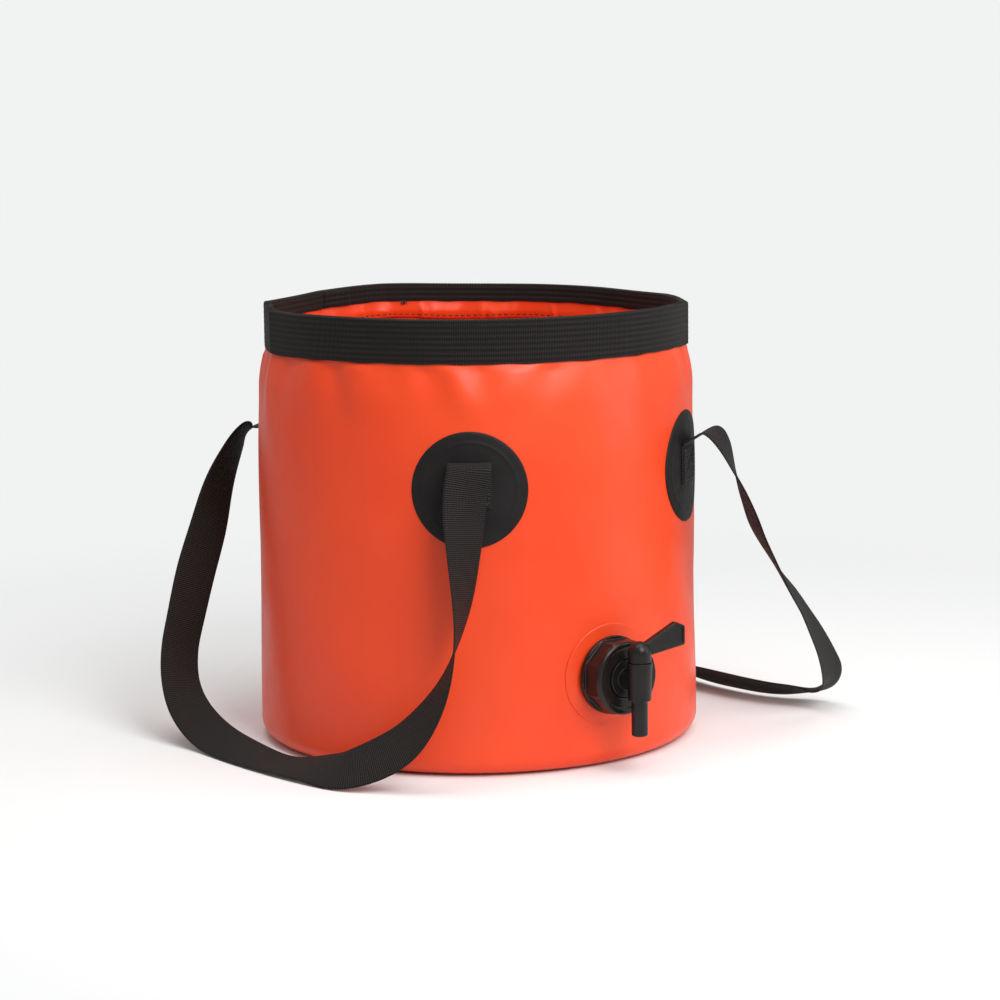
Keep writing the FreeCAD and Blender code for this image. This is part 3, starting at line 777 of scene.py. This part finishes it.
def stitch_object(name, ends, radius):
    """All the stitches of one seam in one mesh."""
    vertices = []
    faces = []
    for thread in stitches(ends, radius):
        start = len(vertices)
        stations, around = thread.shape[:2]
        vertices += [tuple(p) for p in thread.reshape(-1, 3)]
        for i in range(stations - 1):
            for j in range(around):
                k = (j + 1) % around
                faces.append((start + i * around + j, start + i * around + k,
                              start + (i + 1) * around + k, start + (i + 1) * around + j))
        faces.append(tuple(start + j for j in range(around))[::-1])
        faces.append(tuple(start + (stations - 1) * around + j for j in range(around)))
    mesh = bpy.data.meshes.new(name)
    mesh.from_pydata(vertices, [], faces)
    shade_smooth(mesh)
    return join_meshes(name, [closed_mesh(mesh)])


def strap_anchor(corner, centre):
    """Sewn strap end on the patch: ribbed webbing that reaches up to the strap's fold."""
    wide, tall = 37, 60
    shares = np.linspace(-0.5, 0.5, wide)
    across = shares * STRAP_W
    ups = np.linspace(TAB_LOW, ANCHOR_TOP, tall) - PATCH_Z
    front = PATCH_T + STRAP_T
    rib = 0.1 * MM * np.abs(np.sin(np.arange(tall) * 0.9))
    s = np.broadcast_to(across[None, :], (tall, wide))
    t = np.broadcast_to(ups[:, None], (tall, wide))
    edge = 1 - 0.35 * np.abs(2 * shares[None, :]) ** 12
    face = on_wall(centre, s, t, (front * edge) + rib[:, None] * 0.6)
    back = on_wall(centre, s, t, np.full(s.shape, PATCH_T - 0.05 * MM))
    loop = np.concatenate([face, back[:, ::-1]], axis=1)
    u = np.arange(tall) * (ups[1] - ups[0])
    v = np.concatenate([across, across[::-1], across[:1]]) + 0.5 * STRAP_W
    mesh = close_ends(grid("anchor", loop, False, True, u, v))
    name = "strap_anchor_" + corner
    tab = place(join_meshes(name + "_tab", [mesh]), STRAP_WEB, replaced=(name,))
    sewing = stitch_object("anchor_stitches_" + corner, anchor_seams(centre, front + 0.12 * MM),
                           0.36 * MM)
    place(sewing, THREAD)
    return tab


def anchor_seams(centre, lift):
    """Ends of the stitches in a sewn strap end: a box with a cross and a second upright row."""
    inset, row_gap, stitch_length = 2.2 * MM, 2.4 * MM, 2.3 * MM
    half = 0.5 * STRAP_W - inset
    low_t, high_t = TAB_LOW - PATCH_Z + inset, ANCHOR_TOP - PATCH_Z - 2 * MM
    lines = [((-half, low_t), (-half, high_t)), ((half, low_t), (half, high_t)),
             ((-half, low_t), (half, low_t)), ((-half, high_t), (half, high_t)),
             ((-half, low_t), (half, high_t)), ((half, low_t), (-half, high_t)),
             ((half - row_gap, low_t), (half - row_gap, high_t)),
             ((row_gap - half, low_t), (row_gap - half, high_t))]
    pairs = []
    for (s0, t0), (s1, t1) in lines:
        count = max(2, round(math.hypot(s1 - s0, t1 - t0) / stitch_length))
        for i in range(count):
            ends = []
            for share in ((i + 0.1) / count, (i + 0.9) / count):
                ends.append(on_wall(centre, np.array(s0 + (s1 - s0) * share),
                                    np.array(t0 + (t1 - t0) * share), lift))
            pairs.append(tuple(ends))
    return pairs


def close_ends(mesh):
    """Fills the two open ends of a tube-like mesh."""
    work = bmesh.new()
    work.from_mesh(mesh)
    bmesh.ops.remove_doubles(work, verts=work.verts, dist=1e-7)
    bmesh.ops.holes_fill(work, edges=[e for e in work.edges if e.is_boundary], sides=0)
    bmesh.ops.recalc_face_normals(work, faces=work.faces)
    work.to_mesh(mesh)
    work.free()
    shade_smooth(mesh)
    return mesh


def seam_tape():
    """Tape of the wall's sheet welded over the vertical joint at the back."""
    wide, tall = 25, 150
    box_low, box_high = low("wall_seam_tape"), high("wall_seam_tape")
    half = 0.5 * (box_high[0] - box_low[0])
    across = np.linspace(-1, 1, wide) * half
    ups = np.linspace(box_low[2], box_high[2], tall) - PATCH_Z
    s = np.broadcast_to(across[None, :], (tall, wide))
    t = np.broadcast_to(ups[:, None], (tall, wide))
    edge = 1 - np.abs(across / half)[None, :] ** 14
    near_edge = np.exp(-((np.abs(s) - 0.8 * half) / (1.5 * MM)) ** 2)
    ripple = 0.12 * MM * np.sin(t / (3.1 * MM)) * near_edge
    face = on_wall(math.pi, s, t, 0.15 * MM + 0.6 * MM * edge + ripple)
    back = on_wall(math.pi, s, t, np.full(s.shape, -0.1 * MM))
    loop = np.concatenate([face, back[:, ::-1]], axis=1)
    v = np.concatenate([across, across[::-1], across[:1]]) + half
    mesh = close_ends(grid("tape", loop, False, True, t[:, 0] - t[0, 0], v))
    return place(join_meshes("wall_seam_tape_strip", [mesh]), PVC,
                 replaced=("wall_seam_tape",))


def base_panel():
    """Round base sheet with the pressed, gripped band of its weld near the edge."""
    around = 240
    edge = high("base_panel")[0]
    rho = edge * np.array([0.002, 0.2, 0.4, 0.6, 0.75, 0.85, 0.9, 0.925, 0.94, 0.955, 0.97,
                           0.985, 0.995, 1.0])
    press = np.array([0, 0, 0, 0, 0, 0, 0, 0.15, 0.3, 0.3, 0.3, 0.15, 0.1, 0.35]) * MM
    rho_loop = np.concatenate([rho, rho[::-1]])
    z = np.concatenate([press, np.full(len(rho), BASE_SHEET)])[None, :]
    angles = (np.arange(around) * TAU / around)[:, None]
    in_band = (z > 0.2 * MM) * (z < 0.34 * MM)
    grip = 0.06 * MM * np.sin(angles * 120) * in_band
    points = np.stack([rho_loop * np.sin(angles), -rho_loop * np.cos(angles), z + grip], -1)
    u = np.arange(around + 1) * TAU / around * edge
    v = np.cumsum(rho_loop) / len(rho)
    mesh = close_ends(grid("base", points, True, False, u, v))
    return place(join_meshes("base_panel_sheet", [mesh]), PVC,
                 replaced=("base_panel",))


# --- hanging straps -------------------------------------------------------------------------
# Middle of the strap in mm, then heading and tilt of its width in degrees, front to rear.
LEFT_ROUTE = [
    (-83.5, -113, 179, -36, 0), (-85, -114, 174, -34, 0), (-87, -114, 165, -27, 0),
    (-89, -115, 150, -11, 0),
    (-91, -117, 130, 9, 0), (-94, -119, 103, 31, 0), (-101, -120, 75, 55, 0),
    (-110, -117, 52, 72, 10), (-123, -109, 31, 89, 28), (-135, -97, 19, 88, 44),
    (-148, -79, 10.5, 45, 46), (-152, -54, 7.5, 20, 25), (-156, -22, 4, 10, 8),
    (-159, 9, 4.5, 0, 15), (-161, 43, 8, -5, 25), (-163, 66, 19, 5, 25),
    (-161, 82, 34, 10, 12), (-155, 93, 52, 5, 5), (-147, 98, 72, -3, 0),
    (-138, 101, 97, -9, 0), (-127, 104, 122, -1, 0), (-117, 108, 145, 15, 0),
    (-106, 112, 162, 28, 0), (-96, 115, 174, 35, 0), (-88, 115.5, 179.5, 37, 0),
]
RIGHT_ROUTE = [
    (83, -113, 184, 35, 2), (85, -118, 186, 33, 4), (87, -123, 183, 32, 5),
    (90, -127, 175, 38, 3), (94, -130, 162, 52, 2), (98, -132, 151, 63, 5),
    (104, -132, 138, 70, 8), (110, -131, 126, 72, 10), (118, -131, 113, 71, 14),
    (127, -130, 101, 68, 20), (136, -128, 90, 65, 24), (147, -126, 78, 60, 28),
    (159, -122, 64, 52, 30), (172, -117, 49, 42, 30), (185, -110, 33, 30, 25),
    (195, -101, 20, 22, 10), (198, -88, 11, 18, -8), (193, -76, 9, 22, -20),
    (185, -64, 8.5, 22, -28), (178, -48, 9, 14, -33), (174, -28, 9.5, 6, -35),
    (172, -4, 9.5, 3, -35), (172, 22, 9.5, 3, -30), (169, 48, 11, 12, -20),
    (161, 74, 23, 28, -5), (147, 94, 48, 55, 0), (131, 106, 80, 90, 0),
    (117, 113, 109, 118, 0), (105, 118, 136, 131, 0), (97, 120, 155, 139, 0),
    (92, 120, 169, 142, 0), (89, 118, 177, 143, 0), (85, 114.5, 180, 143, 0),
]
ROUTE_STEPS = 12                    # mesh rows between two points of a route


def smooth_curve(points, steps):
    """Catmull-Rom curve through rows of numbers."""
    padded = np.vstack([2 * points[0] - points[1], points, 2 * points[-1] - points[-2]])
    t = np.arange(steps)[:, None] / steps
    out = []
    for p0, p1, p2, p3 in zip(padded, padded[1:], padded[2:], padded[3:]):
        out.append(0.5 * (2 * p1 + (p2 - p0) * t + (2 * p0 - 5 * p1 + 4 * p2 - p3) * t ** 2
                          + (3 * p1 - p0 - 3 * p2 + p3) * t ** 3))
    return np.vstack(out + [points[-1:]])


def fold_points(centre):
    """Middle of the strap over the sewn end: up the tab, round the fold and outwards."""
    out = np.array([math.sin(centre), -math.cos(centre), 0.0])
    base_r = wall_radius(ANCHOR_TOP) + PATCH_T + 0.5 * STRAP_T + 0.15 * MM
    rows = []
    for degrees in (180, 135, 90):
        a = math.radians(degrees)
        r = base_r + FOLD_R + FOLD_R * math.cos(a)
        rows.append(out * r + np.array([0, 0, ANCHOR_TOP + FOLD_R * math.sin(a)]))
    return np.array(rows)


def relaxed(rows, passes):
    """Averages each row with its neighbours and keeps both ends."""
    for step in range(passes):
        rows[1:-1] = 0.25 * rows[:-2] + 0.5 * rows[1:-1] + 0.25 * rows[2:]
    return rows


def square_to(rows, along):
    """The rows made square to along, with length 1."""
    rows = rows - along * np.sum(rows * along, axis=1)[:, None]
    return rows / np.linalg.norm(rows, axis=1)[:, None]


def strap_section():
    """Loop round the webbing's section: (across, out), a little cupped, with soft edges."""
    offsets = np.linspace(-0.5, 0.5, 21)
    belly = 0.5 * STRAP_T * (1 - 0.55 * np.abs(2 * offsets) ** 14)
    cup = 0.35 * MM * (2 * offsets) ** 2
    top = np.stack([offsets * STRAP_W, cup + belly], -1)
    bottom = np.stack([offsets * STRAP_W, cup - belly], -1)
    return np.vstack([top, bottom[::-1]])


def hanging_strap(side, route):
    """Webbing ribbon from one patch to the other, blended between the bucket and the handle."""
    front, rear = PATCH_TURNS["front_" + side], PATCH_TURNS["rear_" + side]
    first = fold_points(front)
    last = fold_points(rear)[::-1]
    table = np.array(route, float)
    middles = np.vstack([first, table[:, :3] * MM, last])
    heading, tilt = np.radians(table[:, 3]), np.radians(table[:, 4])
    widths = np.stack([np.cos(heading) * np.cos(tilt), np.sin(heading) * np.cos(tilt),
                       np.sin(tilt)], -1)
    start_w = np.array([[math.cos(front), math.sin(front), 0.0]] * len(first))
    end_w = np.array([[math.cos(rear), math.sin(rear), 0.0]] * len(last))
    end_w *= math.copysign(1, end_w[0] @ widths[-1])
    widths = np.vstack([start_w, widths, end_w])
    line = relaxed(smooth_curve(middles, ROUTE_STEPS), 10)
    along = np.gradient(line, axis=0)
    along /= np.linalg.norm(along, axis=1)[:, None]
    across = square_to(relaxed(smooth_curve(widths, ROUTE_STEPS), 16), along)
    across = square_to(relaxed(across, 6), along)
    out = np.cross(along, across)
    section = strap_section()
    points = (line[:, None, :] + across[:, None, :] * section[None, :, :1]
              + out[:, None, :] * section[None, :, 1:])
    u = np.concatenate([[0], np.cumsum(np.linalg.norm(np.diff(line, axis=0), axis=1))])
    v = np.append(section[:, 0], section[0, 0]) + 0.5 * STRAP_W
    mesh = close_ends(grid("strap", points, False, True, u, v))
    strap = join_meshes(f"handle_strap_{side}_web", [mesh])
    place(strap, STRAP_WEB, body=None, replaced=(f"handle_strap_{side}",))
    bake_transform(strap)
    return strap


# --- tap ------------------------------------------------------------------------------------
def weld_flange():
    """Disc of wall sheet over the neck's flange, with a soft raised edge."""
    around = 180
    rho = np.array([14.2, 16, 18, 20, 22, 24, 25.5, 27, 28, 28.8, 29.4, 29.8, 30, 29.4, 22, 14.2])
    lift = np.array([1.5, 1.5, 1.4, 1.2, 1.0, 0.85, 0.75, 0.68, 0.66, 0.68, 0.66, 0.45, 0.1,
                     0.05, 0.05, 0.05])
    angles = np.arange(around) * TAU / around
    s = rho[None, :] * MM * np.cos(angles[:, None])
    t = rho[None, :] * MM * np.sin(angles[:, None])
    z = TAP_Z + t
    turn = s / wall_radius(TAP_Z)
    # Short crease under the collar, where the tap's weight pinches the disc.
    pinch = 0.75 * MM * np.exp(-(s / 0.015) ** 2 - ((t + 0.0262) / 0.0022) ** 2)
    r = wall_radius(z) + relief(turn, z) * smoothstep(rho * MM, 20 * MM, 30 * MM)[None] \
        + lift[None, :] * MM - pinch
    points = to_space(turn, r, z)
    mesh = closed_mesh(grid("flange", points, True, True, np.arange(around + 1) * MM,
                            np.arange(len(rho) + 1) * MM))
    return place(join_meshes("tap_weld_flange_disc", [mesh]), PVC,
                 replaced=("tap_weld_flange",))


def gate_mark():
    """Small round mark on the barrel where its moulding gate was cut."""
    rho = np.array([0.05, 0.35, 0.6, 0.8, 0.95, 1.1, 1.15]) * MM
    lift = np.array([0.02, 0.04, 0.12, 0.22, 0.18, 0.0, -0.3]) * MM
    around = 32
    mark_up = 2.6 * MM
    barrel_r = 7.0 * MM
    angles = np.arange(around) * TAU / around
    x = rho[None, :] * np.cos(angles[:, None])
    z = TAP_Z + mark_up + rho[None, :] * np.sin(angles[:, None])
    y = BARREL_Y - np.sqrt(barrel_r ** 2 - x ** 2) - lift[None, :]
    mesh = close_ends(grid("gate", np.stack([x, y, z], -1), True, False))
    return place(join_meshes("tap_gate_mark", [mesh]), TAP_BLACK, body="tap")


def mould_edges(node, voxel, passes, material):
    """Rounds a CAD node's edges as a mould leaves them, and gives it its material."""
    piece = frame["nodes"][node]
    remesh = piece.modifiers.new("even_skin", "REMESH")
    remesh.mode = "VOXEL"
    remesh.voxel_size = voxel
    remesh.use_smooth_shade = True
    soften = piece.modifiers.new("soft_edges", "SMOOTH")
    soften.factor = 0.5
    soften.iterations = passes
    paint(node, material)


def paint(node, material):
    """Gives a CAD node its material."""
    piece = frame["nodes"][node]
    for index in range(len(piece.material_slots)):
        piece.material_slots[index].link = "OBJECT"
        piece.material_slots[index].material = material


# --- put it together ------------------------------------------------------------------------
body_wall()
rim_hoop()
rim_facing()
rim_binding()
loose_thread()
seam_tape()
base_panel()
weld_flange()
gate_mark()
for corner, corner_turn in PATCH_TURNS.items():
    handle_patch(corner, corner_turn)
    strap_anchor(corner, corner_turn)
hanging_strap("left", LEFT_ROUTE)
hanging_strap("right", RIGHT_ROUTE)
mould_edges("collar_nut", 0.3 * MM, 3, COLLAR_BLACK)
mould_edges("tap_body", 0.3 * MM, 3, TAP_BLACK)
mould_edges("tap_lever", 0.25 * MM, 3, TAP_BLACK)
paint("tap_neck", TAP_BLACK)
paint("valve_plug", TAP_BLACK)
paint("neck_washer", RUBBER)
paint("plug_ring_upper", RUBBER)
paint("plug_ring_lower", RUBBER)


# --- stage, light and camera ----------------------------------------------------------------
def stage():
    """Pale floor that fades out a little way from the bucket."""
    reach = 1.4
    drop = 0.0002
    fade_start, fade_end = 0.16, 0.75
    mesh = bpy.data.meshes.new("floor")
    mesh.from_pydata([(-reach, -reach, 0), (reach, -reach, 0), (reach, reach, 0),
                      (-reach, reach, 0)], [], [(0, 1, 2, 3)])
    floor = bpy.data.objects.new("floor", mesh)
    bpy.context.scene.collection.objects.link(floor)
    n = Nodes("floor_pale")
    n.set(Base_Color=(0.86, 0.87, 0.865, 1), Roughness=0.95, Specular_IOR_Level=0.05)
    where = n.add("ShaderNodeTexCoord")
    distance = n.add("ShaderNodeVectorMath", operation="LENGTH")
    n.link(where.outputs["Object"], distance.inputs[0])
    n.link(n.range(distance.outputs["Value"], 1.0, 0.0, fade_start, fade_end),
           n.shader.inputs["Alpha"])
    floor.data.materials.append(n.material)
    floor.location.z = -drop


def area_light(name, azimuth, elevation, distance, size, power):
    """Soft box that looks at the bucket; azimuth is in degrees from the camera's side."""
    light = bpy.data.lights.new(name, "AREA")
    light.shape = "RECTANGLE"
    light.size, light.size_y = size
    light.energy = power
    obj = bpy.data.objects.new(name, light)
    bpy.context.scene.collection.objects.link(obj)
    a = math.radians(azimuth) - VIEW_TURN
    e = math.radians(elevation)
    target = Vector((0, 0, 0.12))      # near the bucket's middle
    obj.location = target + distance * Vector(
        (math.sin(a) * math.cos(e), -math.cos(a) * math.cos(e), math.sin(e)))
    obj.rotation_euler = (target - obj.location).to_track_quat("-Z", "Y").to_euler()


CAMERA_LENS = 104.27                            # mm, on a 36 mm sensor
CAMERA_SPOT = Vector((0.01413, -1.7297, 0.41085))     # before the turn about the bucket's axis
CAMERA_PITCH = math.radians(90) - 0.1559
CAMERA_ROLL = -0.0111


def camera():
    """Camera at the viewing angle of the reference, a little tilted."""
    data = bpy.data.cameras.new("camera")
    data.sensor_width = 36.0
    data.lens = CAMERA_LENS
    data.clip_end = 50
    obj = bpy.data.objects.new("camera", data)
    bpy.context.scene.collection.objects.link(obj)
    obj.matrix_world = (Matrix.Rotation(-VIEW_TURN, 4, "Z") @ Matrix.Translation(CAMERA_SPOT)
                        @ Matrix.Rotation(CAMERA_PITCH, 4, "X")
                        @ Matrix.Rotation(CAMERA_ROLL, 4, "Z"))
    bpy.context.scene.camera = obj


BACKDROP, BACKDROP_AS_LIGHT = 1.0, 0.5          # strengths


def world():
    """Pale backdrop to the camera, dimmer as a light."""
    made = bpy.data.worlds.new("studio")
    made.use_nodes = True
    tree = made.node_tree
    back = tree.nodes["Background"]
    back.inputs["Color"].default_value = (0.88, 0.89, 0.885, 1)
    path = tree.nodes.new("ShaderNodeLightPath")
    strength = tree.nodes.new("ShaderNodeMapRange")
    strength.inputs["To Min"].default_value = BACKDROP_AS_LIGHT
    strength.inputs["To Max"].default_value = BACKDROP
    tree.links.new(path.outputs["Is Camera Ray"], strength.inputs["Value"])
    tree.links.new(strength.outputs["Result"], back.inputs["Strength"])
    bpy.context.scene.world = made
    bpy.context.scene.view_settings.view_transform = "Standard"


stage()
world()
area_light("key", 30, 38, 1.6, (0.8, 0.9), 17)
area_light("side", 78, 18, 1.5, (0.5, 1.3), 4.5)
area_light("top", 0, 84, 1.5, (1.4, 1.0), 12)
camera()

bpy.context.view_layer.update()
